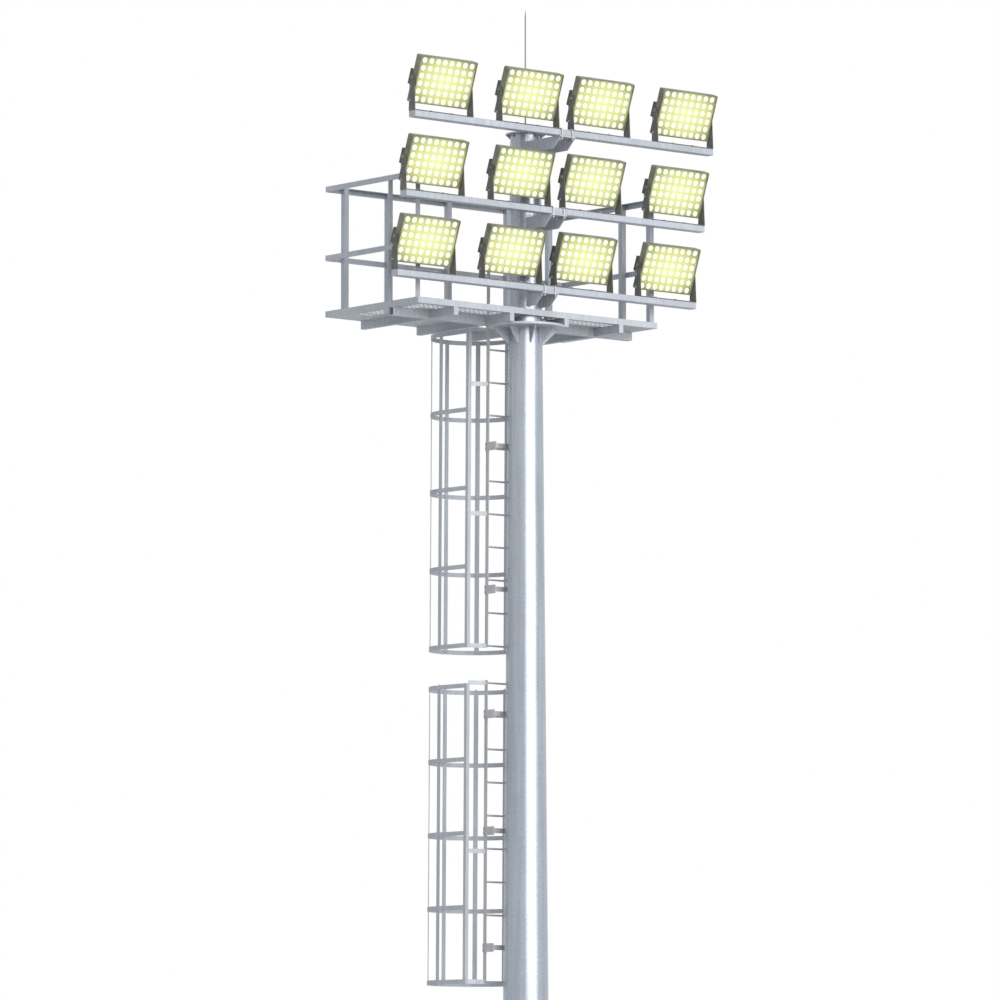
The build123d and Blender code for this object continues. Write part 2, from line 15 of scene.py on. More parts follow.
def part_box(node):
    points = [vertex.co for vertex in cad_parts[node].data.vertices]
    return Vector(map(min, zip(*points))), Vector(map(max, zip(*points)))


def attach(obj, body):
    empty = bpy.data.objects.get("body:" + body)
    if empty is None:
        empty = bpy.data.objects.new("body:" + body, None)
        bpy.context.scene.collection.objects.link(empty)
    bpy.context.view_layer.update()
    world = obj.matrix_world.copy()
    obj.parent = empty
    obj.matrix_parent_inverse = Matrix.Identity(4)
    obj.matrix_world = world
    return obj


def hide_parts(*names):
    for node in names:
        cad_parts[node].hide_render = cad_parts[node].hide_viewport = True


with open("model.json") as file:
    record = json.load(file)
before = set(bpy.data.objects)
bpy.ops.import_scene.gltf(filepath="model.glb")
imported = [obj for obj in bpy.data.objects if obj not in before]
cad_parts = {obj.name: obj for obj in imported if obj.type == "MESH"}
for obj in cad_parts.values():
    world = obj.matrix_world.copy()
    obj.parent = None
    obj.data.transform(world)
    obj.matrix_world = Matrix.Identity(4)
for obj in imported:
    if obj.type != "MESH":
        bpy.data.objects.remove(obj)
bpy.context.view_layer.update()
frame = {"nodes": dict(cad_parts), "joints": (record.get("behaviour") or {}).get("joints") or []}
nodes = frame["nodes"]
lamp_joints = frame["joints"]

# %% [markdown]
# ## Camera
# The picture was taken with a long lens from the ground, about 63 m away, so lines that are
# parallel on the mast stay nearly parallel. A lens this long on a 36 mm sensor gives the
# same flat perspective, and turning the camera up a little puts the lamps in the frame.

# %% Camera
CAMERA_PLACE = (-40.686, -48.473, 1.554)
CAMERA_YAW = math.radians(39.799)
CAMERA_PITCH = math.radians(6.068)
FOCAL_LENGTH_MM = 252.91

camera_data = bpy.data.cameras.new("camera")
camera_data.sensor_width = 36
camera_data.lens = FOCAL_LENGTH_MM
camera_data.clip_start = 1
camera_data.clip_end = 500
camera = bpy.data.objects.new("camera", camera_data)
camera.location = CAMERA_PLACE
camera.rotation_euler = (math.pi / 2 + CAMERA_PITCH, 0, -CAMERA_YAW)
bpy.context.collection.objects.link(camera)
bpy.context.scene.camera = camera
print("camera", camera.location[:], "lens", FOCAL_LENGTH_MM)

# %% [markdown]
# ## Light
# Galvanised steel is dull, so it is the light that models its tubes and angles. One wide
# soft sun from the front draws the pale band down the mast. It stands low, so undersides
# are lit by what the floor throws back, and the floor is pale to help them.

# %% Sun
SUN_TOWARDS = Vector((-0.12, -0.93, 0.34))
SUN_STRENGTH = 3.2
SUN_COLOUR = (1.0, 0.99, 0.97)
SUN_SOFTNESS = math.radians(64)

sun_data = bpy.data.lights.new("sun", "SUN")
sun_data.energy = SUN_STRENGTH
sun_data.color = SUN_COLOUR
sun_data.angle = SUN_SOFTNESS
sun = bpy.data.objects.new("sun", sun_data)
sun.rotation_euler = SUN_TOWARDS.to_track_quat("Z", "Y").to_euler()
bpy.context.collection.objects.link(sun)
print("sun", SUN_STRENGTH)

# %% [markdown]
# Every node tree below is wired in the same way: a socket takes either a link or a value,
# and many steps are one sum on two of them. Two helpers say that once. Math nodes work the
# same in a sky, a material and Geometry Nodes, so the helpers serve all three.

# %% Helpers for node trees


def feed(tree, socket, value):
    """Links a socket to another socket, or sets it to a value."""
    if isinstance(value, bpy.types.NodeSocket):
        tree.links.new(value, socket)
    else:
        socket.default_value = value


def calc(tree, operation, first, second=0.0):
    """A Math node on two values or sockets."""
    node = tree.nodes.new("ShaderNodeMath")
    node.operation = operation
    feed(tree, node.inputs[0], first)
    feed(tree, node.inputs[1], second)
    return node.outputs[0]


print("helpers", feed.__name__, calc.__name__)

# %% [markdown]
# The sky is white wherever it is seen, by the camera, in gloss or through glass, but as a
# light it is less than half as strong and a little blue. So the background is white while
# the sides that turn away from the sun keep their blue grey. Light Path tells the rays
# apart.

# %% Sky
SKY_COLOUR = (0.88, 0.92, 1.0, 1)
SKY_STRENGTH = 0.42
WHITE = (1, 1, 1, 1)

world = bpy.data.worlds.new("sky")
bpy.context.scene.world = world
world.use_nodes = True
sky = world.node_tree
sky.nodes.clear()


def sky_shader(colour, strength):
    shader = sky.nodes.new("ShaderNodeBackground")
    shader.inputs["Color"].default_value = colour
    shader.inputs["Strength"].default_value = strength
    return shader.outputs[0]


rays = sky.nodes.new("ShaderNodeLightPath").outputs
sky_is_seen = calc(sky, "MAXIMUM", rays["Is Camera Ray"], rays["Is Glossy Ray"])
sky_is_seen = calc(sky, "MAXIMUM", sky_is_seen, rays["Is Transmission Ray"])
sky_mix = sky.nodes.new("ShaderNodeMixShader")
sky_out = sky.nodes.new("ShaderNodeOutputWorld")
sky.links.new(sky_is_seen, sky_mix.inputs[0])
sky.links.new(sky_shader(SKY_COLOUR, SKY_STRENGTH), sky_mix.inputs[1])
sky.links.new(sky_shader(WHITE, 1), sky_mix.inputs[2])
sky.links.new(sky_mix.outputs[0], sky_out.inputs["Surface"])
bpy.context.scene.view_settings.view_transform = "Standard"
print("sky", SKY_STRENGTH)

# %% [markdown]
# ## Floor
# The mast stands on a plain pale floor. It is a wide disc rather than a square, so no corner
# ever shows.

# %% Floor
FLOOR_RADIUS = 60
FLOOR_SIDES = 96
FLOOR_COLOUR = (0.88, 0.89, 0.90, 1)


def new_material(name):
    """A material with an empty tree, its output and a Principled shader."""
    material = bpy.data.materials.new(name)
    material.use_nodes = True
    tree = material.node_tree
    tree.nodes.clear()
    out = tree.nodes.new("ShaderNodeOutputMaterial")
    shader = tree.nodes.new("ShaderNodeBsdfPrincipled")
    tree.links.new(shader.outputs[0], out.inputs[0])
    return material, tree, shader


floor_material, _, floor_shader = new_material("pale_floor")
floor_shader.inputs["Base Color"].default_value = FLOOR_COLOUR
floor_shader.inputs["Roughness"].default_value = 0.95
floor_mesh = bpy.data.meshes.new("floor")
floor_build = bmesh.new()
bmesh.ops.create_circle(floor_build, cap_ends=True, segments=FLOOR_SIDES, radius=FLOOR_RADIUS)
floor_build.to_mesh(floor_mesh)
floor_build.free()
floor_mesh.materials.append(floor_material)
floor = bpy.data.objects.new("floor", floor_mesh)
bpy.context.collection.objects.link(floor)
print("floor radius", FLOOR_RADIUS)

# %% [markdown]
# ## Surface patterns
# A finish is a colour that varies a little over the surface, so four small helpers make
# the pattern: a ramp that turns one range into another, a noise, a tint of a colour and a
# bump. Nearly all of a noise lies between 0.3 and 0.7, so the ramps start from there.

# %% Pattern helpers
FULL_RANGE = (0, 1)
NOISE_RANGE = (0.3, 0.7)


def value_ramp(tree, source, given, wanted):
    """Maps a value from one (low, high) range to another, held at both ends."""
    remap = tree.nodes.new("ShaderNodeMapRange")
    for label, limit in zip(("From Min", "From Max", "To Min", "To Max"), (*given, *wanted)):
        remap.inputs[label].default_value = limit
    tree.links.new(source, remap.inputs["Value"])
    return remap.outputs["Result"]


def noise(tree, place, scale, detail):
    texture = tree.nodes.new("ShaderNodeTexNoise")
    texture.inputs["Scale"].default_value = scale
    texture.inputs["Detail"].default_value = detail
    tree.links.new(place, texture.inputs["Vector"])
    return texture.outputs["Fac"]


def tint(tree, colour, factor):
    """The colour, brightened or darkened by a factor that varies over the surface."""
    node = tree.nodes.new("ShaderNodeVectorMath")
    node.operation = "SCALE"
    node.inputs[0].default_value = colour
    tree.links.new(factor, node.inputs["Scale"])
    return node.outputs[0]


def add_bump(tree, shader, height, strength, distance):
    bump = tree.nodes.new("ShaderNodeBump")
    bump.inputs["Strength"].default_value = strength
    bump.inputs["Distance"].default_value = distance
    tree.links.new(height, bump.inputs["Height"])
    tree.links.new(bump.outputs[0], shader.inputs["Normal"])


print("noise range", NOISE_RANGE)

# %% [markdown]
# ## Galvanised steel
# Hot-dip zinc freezes in crystals one or two centimetres wide, the spangle, and weathers to
# a matt blue grey with faint streaks where rain runs down. A Voronoi texture makes the
# crystals, one noise the slow drift of tone, and a stretched noise the streaks. They are
# read from object coordinates, in metres, so the scale is the real one on every piece.

# %% Galvanised steel
STREAK_STRETCH = (26, 26, 0.9)
CRYSTAL_CONTRAST = (0.975, 1.025)
DRIFT_CONTRAST = (0.93, 1.07)
ROUGHNESS_SPREAD = 0.02


def galvanised(name, colour, roughness=0.46, metallic=0.35, spangle=0.022, streaks=0.10):
    """Zinc with crystals `spangle` metres wide and rain streaks that darken it."""
    material, tree, shader = new_material(name)
    place = tree.nodes.new("ShaderNodeTexCoord").outputs["Object"]
    crystals = tree.nodes.new("ShaderNodeTexVoronoi")
    crystals.inputs["Scale"].default_value = 1 / spangle
    tree.links.new(place, crystals.inputs["Vector"])
    crystal = tree.nodes.new("ShaderNodeSeparateColor")
    tree.links.new(crystals.outputs["Color"], crystal.inputs[0])
    stretch = tree.nodes.new("ShaderNodeMapping")
    stretch.inputs["Scale"].default_value = STREAK_STRETCH
    tree.links.new(place, stretch.inputs["Vector"])
    rain = noise(tree, stretch.outputs[0], scale=1, detail=3)
    drift = noise(tree, place, scale=1.7, detail=5)
    spangled = value_ramp(tree, crystal.outputs["Red"], FULL_RANGE, CRYSTAL_CONTRAST)
    drifting = value_ramp(tree, drift, NOISE_RANGE, DRIFT_CONTRAST)
    streaked = value_ramp(tree, rain, NOISE_RANGE, (1 - streaks, 1 + streaks / 2))
    tone = calc(tree, "MULTIPLY", calc(tree, "MULTIPLY", spangled, drifting), streaked)
    tree.links.new(tint(tree, colour, tone), shader.inputs["Base Color"])
    spread = (roughness - ROUGHNESS_SPREAD, roughness + ROUGHNESS_SPREAD)
    rough = value_ramp(tree, crystal.outputs["Green"], FULL_RANGE, spread)
    tree.links.new(rough, shader.inputs["Roughness"])
    shader.inputs["Metallic"].default_value = metallic
    grain = noise(tree, place, scale=240, detail=4)
    add_bump(tree, shader, grain, strength=0.04, distance=0.001)
    return material


print("crystal contrast", CRYSTAL_CONTRAST)

# %% [markdown]
# One recipe gives eight finishes. The mast's zinc is the smoothest, because a tube drains
# well when it leaves the bath, so it mirrors the sun in a band. Angles and flats come out
# duller. Small parts are spun in a basket, which leaves fine crystals, and the lightning
# rod is aluminium that has gone dull and dark.

# %% Steel finishes
STEEL = galvanised("galvanised_steel", (0.44, 0.465, 0.50), roughness=0.55, metallic=0.20)
MAST_STEEL = galvanised(
    "mast_steel", (0.36, 0.395, 0.445), roughness=0.28, metallic=0.60, streaks=0.12
)
# The ladder's steel is paler than the other steel: painted light where the mast shades the ladder.
LADDER_STEEL_PAINTED_LIGHT = galvanised(
    "ladder_steel_painted_light", (0.50, 0.50, 0.505), roughness=0.55, metallic=0.20, spangle=0.012
)
ARM_STEEL = galvanised("arm_steel", (0.41, 0.435, 0.48), spangle=0.015)
SHEET_STEEL = galvanised("sheet_steel", (0.48, 0.52, 0.54), roughness=0.50, spangle=0.012)
BOLT_ZINC = galvanised(
    "zinc_bolts", (0.46, 0.45, 0.48), roughness=0.40, metallic=0.6, spangle=0.004, streaks=0.05
)
WELD_ZINC = galvanised("zinc_over_weld", (0.40, 0.42, 0.46), 0.55, spangle=0.006, streaks=0.05)
ROD_METAL = galvanised(
    "rod_aluminium", (0.24, 0.25, 0.26), roughness=0.50, metallic=0.3, spangle=0.006, streaks=0.05
)
steels = (STEEL, MAST_STEEL, LADDER_STEEL_PAINTED_LIGHT, ARM_STEEL, SHEET_STEEL, BOLT_ZINC, WELD_ZINC, ROD_METAL)
print("steels", [steel.name for steel in steels])

# %% [markdown]
# ## Powder coat
# The lamp housings are cast metal with a dark olive powder coat: a fine orange peel, and
# dust in large soft patches. The yokes have the same coat, darker, and the driver boxes the
# darkest. One noise gives the dust, and another, much finer, the peel.

# %% Powder coat
DUST_EDGES = (0.35, 0.65)
DUST_ROUGHNESS = 0.15


def coated(name, colour, roughness, dust):
    """A coat with orange peel, and dust that lightens it in large soft patches."""
    material, tree, shader = new_material(name)
    place = tree.nodes.new("ShaderNodeTexCoord").outputs["Object"]
    patches = noise(tree, place, scale=9, detail=6)
    tone = value_ramp(tree, patches, DUST_EDGES, (1 - dust, 1 + dust))
    tree.links.new(tint(tree, colour, tone), shader.inputs["Base Color"])
    rough = value_ramp(tree, patches, NOISE_RANGE, (roughness, roughness + DUST_ROUGHNESS))
    tree.links.new(rough, shader.inputs["Roughness"])
    peel = noise(tree, place, scale=420, detail=2)
    add_bump(tree, shader, peel, strength=0.18, distance=0.0006)
    return material


HOUSING_COAT = coated("housing_coat", (0.180, 0.186, 0.135), roughness=0.42, dust=0.30)
YOKE_COAT = coated("yoke_coat", (0.110, 0.112, 0.096), roughness=0.45, dust=0.25)
DRIVER_COAT = coated("driver_coat", (0.078, 0.080, 0.074), roughness=0.50, dust=0.20)
print("coats", HOUSING_COAT.name, YOKE_COAT.name, DRIVER_COAT.name)

# %% [markdown]
# Each CAD node now gets its finish, found by the first word or words of its name. The
# node's own mesh stays as it is: only what its material slots hold changes. Flanges,
# gussets, frame, bearers and cage have the plain steel.

# %% Finishes on the CAD nodes
FINISHES = {
    "mast": MAST_STEEL,
    "head_column": MAST_STEEL,
    "crossarm": ARM_STEEL,
    "railing": ARM_STEEL,
    "ladder": LADDER_STEEL_PAINTED_LIGHT,
    "yokes": YOKE_COAT,
    "u_bolts": BOLT_ZINC,
    "lightning_rod": ROD_METAL,
    "floodlight": HOUSING_COAT,
    "arm_end_caps": ARM_STEEL,
}
for name, node in nodes.items():
    finish = next((m for prefix, m in FINISHES.items() if name.startswith(prefix)), STEEL)
    for slot in node.material_slots:
        slot.material = finish
print("finished", len(nodes), "nodes")

# %% [markdown]
# ## Mast and ladder frame
# Bolts and welds have to sit on the mast and on the ladder. The mast's radius falls evenly
# with height, so two nodes of the frame give it everywhere. The ladder and its cage lean
# with the mast's surface: one matrix turns a place drawn upright, with the ladder's plane
# at Y = 0, into its place on the leaning ladder.

# %% Mast and ladder frame
LADDER_STANDOFF = 0.130

lower_low, lower_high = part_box("mast_lower")
column_low, column_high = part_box("head_column")
MAST_TAPER = (lower_high.x - column_high.x) / (column_low.z - lower_low.z)


def mast_radius(height):
    return lower_high.x - MAST_TAPER * (height - lower_low.z)


ladder_foot = Vector((0, mast_radius(0) + LADDER_STANDOFF, 0))
ladder_lean = math.atan(MAST_TAPER)
ladder_frame = Matrix.Translation(ladder_foot) @ Matrix.Rotation(ladder_lean, 4, "X")
print("mast radius at 5 m", round(mast_radius(5), 4))

# %% [markdown]
# ## Geometry Nodes helpers
# Lenses, bolts, welds and holes all repeat, so node groups make them. A group is easier to
# read when its inputs have names and each node is added in one line with what feeds it.
# `add` links an input that is given a socket and sets one that is given a value. The last
# helper evaluates a group, keeps the result as a plain mesh and lets it ride on a body.

# %% Geometry Nodes helpers


def new_group(name, inputs):
    """A geometry group with named inputs: {name: default}."""
    group = bpy.data.node_groups.new(name, "GeometryNodeTree")
    group.interface.new_socket("Geometry", in_out="INPUT", socket_type="NodeSocketGeometry")
    for label, value in inputs.items():
        kind = "NodeSocket" + {int: "Int", float: "Float"}.get(type(value), "Vector")
        socket = group.interface.new_socket(label, in_out="INPUT", socket_type=kind)
        socket.default_value = value
    group.interface.new_socket("Geometry", in_out="OUTPUT", socket_type="NodeSocketGeometry")
    return group, group.nodes.new("NodeGroupInput").outputs, group.nodes.new("NodeGroupOutput")


def add(group, kind, settings=None, **inputs):
    """Adds a node, sets its options, and links or sets its inputs by name."""
    node = group.nodes.new(kind)
    for key, value in (settings or {}).items():
        setattr(node, key, value)
    for label, value in inputs.items():
        feed(group, node.inputs[label.replace("_", " ")], value)
    return node


def vector_of(group, x=0.0, y=0.0, z=0.0):
    return add(group, "ShaderNodeCombineXYZ", X=x, Y=y, Z=z).outputs[0]


def finish_group(group, geometry, output, material):
    """Ends a group with real geometry and its material, as the export needs."""
    realise = add(group, "GeometryNodeRealizeInstances", Geometry=geometry)
    paint = add(group, "GeometryNodeSetMaterial", Geometry=realise.outputs[0])
    paint.inputs["Material"].default_value = material
    group.links.new(paint.outputs[0], output.inputs[0])


def build_from_group(name, group, values, body, mesh=None):
    """Evaluates a group on an object, keeps the result as a plain mesh, rides it."""
    piece = bpy.data.objects.new(name, mesh or bpy.data.meshes.new(name))
    bpy.context.collection.objects.link(piece)
    modifier = piece.modifiers.new("nodes", "NODES")
    modifier.node_group = group
    for item in group.interface.items_tree:
        if item.in_out == "INPUT" and item.name in values:
            modifier[item.identifier] = values[item.name]
    graph = bpy.context.evaluated_depsgraph_get()
    made = bpy.data.meshes.new_from_object(piece.evaluated_get(graph), depsgraph=graph)
    piece.modifiers.clear()
    piece.data = made
    made.name = name
    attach(piece, body)
    return piece


print("helpers", new_group.__name__, add.__name__, build_from_group.__name__)

# %% [markdown]
# ## LED boards
# In the tray of each floodlight lies a board with six rows of eight domed lenses. A lens is
# a lit dome: Layer Weight finds where its side turns away, and a ramp makes it warmer and
# darker there, so that it reads as a dome. It is brighter than the board but not brighter
# than white, because a lamp that burns out in the picture loses its grid.

# %% Lens glow
LENS_COLOUR = (1.0, 1.0, 0.86, 1)
LENS_SIDE_COLOUR = (0.86, 0.88, 0.55, 1)
LENS_UNLIT = (0.10, 0.10, 0.09, 1)
LENS_STRENGTH = 0.95
LENS_FACING_BLEND = 0.35
LENS_ROUGHNESS = 0.25


def lens_glow():
    material, tree, shader = new_material("lit_lens")
    facing = tree.nodes.new("ShaderNodeLayerWeight")
    facing.inputs["Blend"].default_value = LENS_FACING_BLEND
    ramp = tree.nodes.new("ShaderNodeValToRGB")
    ramp.color_ramp.elements[0].color = LENS_COLOUR
    ramp.color_ramp.elements[1].color = LENS_SIDE_COLOUR
    tree.links.new(facing.outputs["Facing"], ramp.inputs[0])
    tree.links.new(ramp.outputs[0], shader.inputs["Emission Color"])
    shader.inputs["Emission Strength"].default_value = LENS_STRENGTH
    shader.inputs["Base Color"].default_value = LENS_UNLIT
    shader.inputs["Roughness"].default_value = LENS_ROUGHNESS
    return material


LENS_GLOW = lens_glow()
print("lens strength", LENS_STRENGTH)

# %% [markdown]
# Between the lenses the board glows yellow green, most at its middle: painted light, the
# glare of the lenses spread over the board. Its UV map runs from 0 to 1 across the board. A
# mapping centres it, the length of what is left is the distance from the middle, and a ramp
# of three colours turns that into the glow.

# %% Board glow
GLOW_MIDDLE = (0.78, 0.82, 0.38, 1)
GLOW_BETWEEN = (0.60, 0.63, 0.25, 1)
GLOW_EDGE = (0.20, 0.21, 0.10, 1)
GLOW_BETWEEN_AT = 0.60
GLOW_REACH = (0.15, 1.25)
BOARD_UNLIT = (0.08, 0.09, 0.03, 1)


def board_glow():
    material, tree, shader = new_material("lit_board")
    uv = tree.nodes.new("ShaderNodeUVMap")
    uv.uv_map = "board"
    centred = tree.nodes.new("ShaderNodeMapping")
    centred.inputs["Location"].default_value = (-1, -1, 0)
    centred.inputs["Scale"].default_value = (2, 2, 1)
    tree.links.new(uv.outputs[0], centred.inputs["Vector"])
    spread = tree.nodes.new("ShaderNodeVectorMath")
    spread.operation = "LENGTH"
    tree.links.new(centred.outputs[0], spread.inputs[0])
    from_middle = value_ramp(tree, spread.outputs["Value"], GLOW_REACH, FULL_RANGE)
    ramp = tree.nodes.new("ShaderNodeValToRGB")
    ramp.color_ramp.elements[0].color = GLOW_MIDDLE
    ramp.color_ramp.elements[1].color = GLOW_EDGE
    ramp.color_ramp.elements.new(GLOW_BETWEEN_AT).color = GLOW_BETWEEN
    tree.links.new(from_middle, ramp.inputs[0])
    tree.links.new(ramp.outputs[0], shader.inputs["Emission Color"])
    shader.inputs["Emission Strength"].default_value = 1.0
    shader.inputs["Base Color"].default_value = BOARD_UNLIT
    shader.inputs["Roughness"].default_value = 0.4
    return material


BOARD_GLOW = board_glow()
print("glow reach", GLOW_REACH)

# %% [markdown]
# A grid gives the 48 points, one flattened ball is placed on each, half sunk in the board,
# and two transforms stand the grid up and carry it to the lamp's pivot. A ball of 72 faces
# is enough for a lens that is five pixels wide, and there are 576 of them.

# %% Lens group
LAMP_TILT = math.radians(20)
LAMP_FRONT_Y = -0.057
BOARD_FACE_Y = LAMP_FRONT_Y + 0.010
LENS_INPUTS = {
    "Columns": 8,
    "Rows": 6,
    "Pitch X": 0.0775,
    "Pitch Z": 0.0705,
    "Radius": 0.0280,
    "Bulge": 0.30,
    "Face Y": BOARD_FACE_Y,
    "Drop": -0.0025,
    "Pivot": (0, 0, 0),
    "Tilt": LAMP_TILT,
}
lens_group, lens_in, lens_out = new_group("lens_grid", LENS_INPUTS)


def span_of(group, count, pitch):
    return calc(group, "MULTIPLY", calc(group, "SUBTRACT", count, 1.0), pitch)


lens_points = add(
    lens_group,
    "GeometryNodeMeshGrid",
    Vertices_X=lens_in["Columns"],
    Vertices_Y=lens_in["Rows"],
    Size_X=span_of(lens_group, lens_in["Columns"], lens_in["Pitch X"]),
    Size_Y=span_of(lens_group, lens_in["Rows"], lens_in["Pitch Z"]),
)
ball = add(
    lens_group, "GeometryNodeMeshUVSphere", Segments=12, Rings=6, Radius=lens_in["Radius"]
)
flattened = add(
    lens_group,
    "GeometryNodeTransform",
    Geometry=ball.outputs["Mesh"],
    Scale=vector_of(lens_group, 1.0, 1.0, lens_in["Bulge"]),
)
smooth_ball = add(lens_group, "GeometryNodeSetShadeSmooth", Geometry=flattened.outputs[0])
scatter = add(
    lens_group,
    "GeometryNodeInstanceOnPoints",
    Points=lens_points.outputs["Mesh"],
    Instance=smooth_ball.outputs[0],
)
stand_up = add(
    lens_group,
    "GeometryNodeTransform",
    Geometry=scatter.outputs[0],
    Rotation=(math.pi / 2, 0, 0),
    Translation=vector_of(lens_group, 0.0, lens_in["Face Y"], lens_in["Drop"]),
)
to_lamp = add(
    lens_group,
    "GeometryNodeTransform",
    Geometry=stand_up.outputs[0],
    Translation=lens_in["Pivot"],
    Rotation=vector_of(lens_group, lens_in["Tilt"]),
)
finish_group(lens_group, to_lamp.outputs[0], lens_out, LENS_GLOW)
print("lenses on a board", LENS_INPUTS["Columns"] * LENS_INPUTS["Rows"])

# %% [markdown]
# The board itself is a thin bevelled slab. Its UV map runs from corner to corner, so the
# glow keeps its middle on every lamp, wherever that lamp points.

# %% Boards and lenses on every lamp
LAMP_WIDTH = 0.650
LAMP_HEIGHT = 0.434
LAMP_RIM = 0.008
BOARD_GAP = 0.001
BOARD_HALF_X = LAMP_WIDTH / 2 - LAMP_RIM - BOARD_GAP
BOARD_HALF_Z = LAMP_HEIGHT / 2 - LAMP_RIM - BOARD_GAP
BOARD_FRONT_Y = BOARD_FACE_Y - 0.0012
BOARD_BACK_Y = BOARD_FACE_Y - 0.0002
BOARD_BEVEL = 0.0004


def lamp_label(joint):
    """The end of the lamp's name, such as top_1, which its pieces share."""
    return joint["child"].removeprefix("floodlight_")


def lamp_transform(joint):
    """Carries a piece drawn round a level pivot to its place on the lamp at rest."""
    tilt = Euler((LAMP_TILT, 0, 0)).to_matrix().to_4x4()
    return Matrix.Translation(Vector(joint["pos_m"])) @ tilt


def mesh_object(name, build, material, body):
    mesh = bpy.data.meshes.new(name)
    build.to_mesh(mesh)
    build.free()
    mesh.materials.append(material)
    piece = bpy.data.objects.new(name, mesh)
    bpy.context.collection.objects.link(piece)
    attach(piece, body)
    return piece


def slab(low, high):
    """A closed box between two corners, as a bmesh."""
    build = bmesh.new()
    bmesh.ops.create_cube(build, size=1)
    size = [b - a for a, b in zip(low, high)]
    centre = [(a + b) / 2 for a, b in zip(low, high)]
    build.transform(Matrix.Translation(centre) @ Matrix.Diagonal((*size, 1)))
    return build


def led_board(joint):
    low = (-BOARD_HALF_X, BOARD_FRONT_Y, -BOARD_HALF_Z)
    build = slab(low, (BOARD_HALF_X, BOARD_BACK_Y, BOARD_HALF_Z))
    bmesh.ops.bevel(
        build, geom=build.edges[:], offset=BOARD_BEVEL, segments=2, affect="EDGES"
    )
    uv_layer = build.loops.layers.uv.new("board")
    for face in build.faces:
        for loop in face.loops:
            across = loop.vert.co.x / (2 * BOARD_HALF_X) + 0.5
            up = loop.vert.co.z / (2 * BOARD_HALF_Z) + 0.5
            loop[uv_layer].uv = (across, up)
    build.transform(lamp_transform(joint))
    return mesh_object("led_board_" + lamp_label(joint), build, BOARD_GLOW, joint["child"])


for joint in lamp_joints:
    led_board(joint)
    values = {"Pivot": joint["pos_m"], "Tilt": LAMP_TILT}
    build_from_group("lenses_" + lamp_label(joint), lens_group, values, joint["child"])
print("lamps with boards", len(lamp_joints))

# %% [markdown]
# ## Driver boxes
# The power supply sits behind each tray in a pressed steel box, darker than the casting.
# The solid has the box's form. What shows is its skin, half a millimetre proud, with round
# rear edges and two pressed ribs. The skin and each rib are bevelled slabs, because a bevel
# of a few segments is just what a press leaves on an edge.

# %% Driver boxes
DRIVER_LOW = Vector((-0.300, 0.0153, -0.070))
DRIVER_HIGH = Vector((0.300, 0.0903, 0.070))
SKIN = 0.0005
DRIVER_BEVEL = 0.008
RIB_HALF_LENGTH = 0.22
RIB_HALF_WIDTH = 0.006
RIB_SUNK = 0.002
RIB_PROUD = 0.0025
RIB_BEVEL = 0.002
RIB_HEIGHTS = (-0.030, 0.030)
DRIVER_REAR_Y = DRIVER_HIGH.y + SKIN
ROUNDING_ERROR = 1e-5


def take_in(build, other):
    """Adds one bmesh to another and frees it."""
    mesh = bpy.data.meshes.new("part")
    other.to_mesh(mesh)
    other.free()
    build.from_mesh(mesh)
    bpy.data.meshes.remove(mesh)


def driver_rib(height):
    rib = slab(
        (-RIB_HALF_LENGTH, DRIVER_REAR_Y - RIB_SUNK, height - RIB_HALF_WIDTH),
        (RIB_HALF_LENGTH, DRIVER_REAR_Y + RIB_PROUD, height + RIB_HALF_WIDTH),
    )
    bmesh.ops.bevel(rib, geom=rib.edges[:], offset=RIB_BEVEL, segments=2, affect="EDGES")
    return rib


def driver_skin(joint):
    low = DRIVER_LOW - Vector((SKIN, -SKIN, SKIN))
    build = slab(low, DRIVER_HIGH + Vector((SKIN, SKIN, SKIN)))
    rear_edges = [
        edge
        for edge in build.edges
        if all(abs(vert.co.y - DRIVER_REAR_Y) < ROUNDING_ERROR for vert in edge.verts)
    ]
    bmesh.ops.bevel(build, geom=rear_edges, offset=DRIVER_BEVEL, segments=4, affect="EDGES")
    for height in RIB_HEIGHTS:
        take_in(build, driver_rib(height))
    build.transform(lamp_transform(joint))
    piece = mesh_object("driver_box_" + lamp_label(joint), build, DRIVER_COAT, joint["child"])
    return piece


for joint in lamp_joints:
    driver_skin(joint)
print("driver boxes", len(lamp_joints))

# %% [markdown]
# ## Bolts
# A hexagon bolt is three prisms on one axis: a washer, a head or nut, and a stub of thread.
# The group stands one on every vertex of a points mesh and turns it to the vertex's own
# direction, kept in an attribute, so one group serves the anchors, the cage and the lamps.

# %% Bolt group
BOLT_INPUTS = {
    "Across Flats": 0.017,
    "Head Height": 0.007,
    "Washer Radius": 0.010,
    "Washer Thickness": 0.0015,
    "Thread Radius": 0.005,
    "Thread Length": 0.0,
}
FLATS_TO_RADIUS = 1 / math.sqrt(3)
bolt_group, bolt_in, bolt_out = new_group("hexagon_bolt", BOLT_INPUTS)


def standing_prism(group, sides, radius, height, base):
    """A prism that stands on the height `base`."""
    prism = add(
        group, "GeometryNodeMeshCylinder", Vertices=sides, Radius=radius, Depth=height
    )
    middle = calc(group, "ADD", base, calc(group, "MULTIPLY", height, 0.5))
    lifted = add(
        group,
        "GeometryNodeTransform",
        Geometry=prism.outputs["Mesh"],
        Translation=vector_of(group, z=middle),
    )
    return lifted.outputs[0]


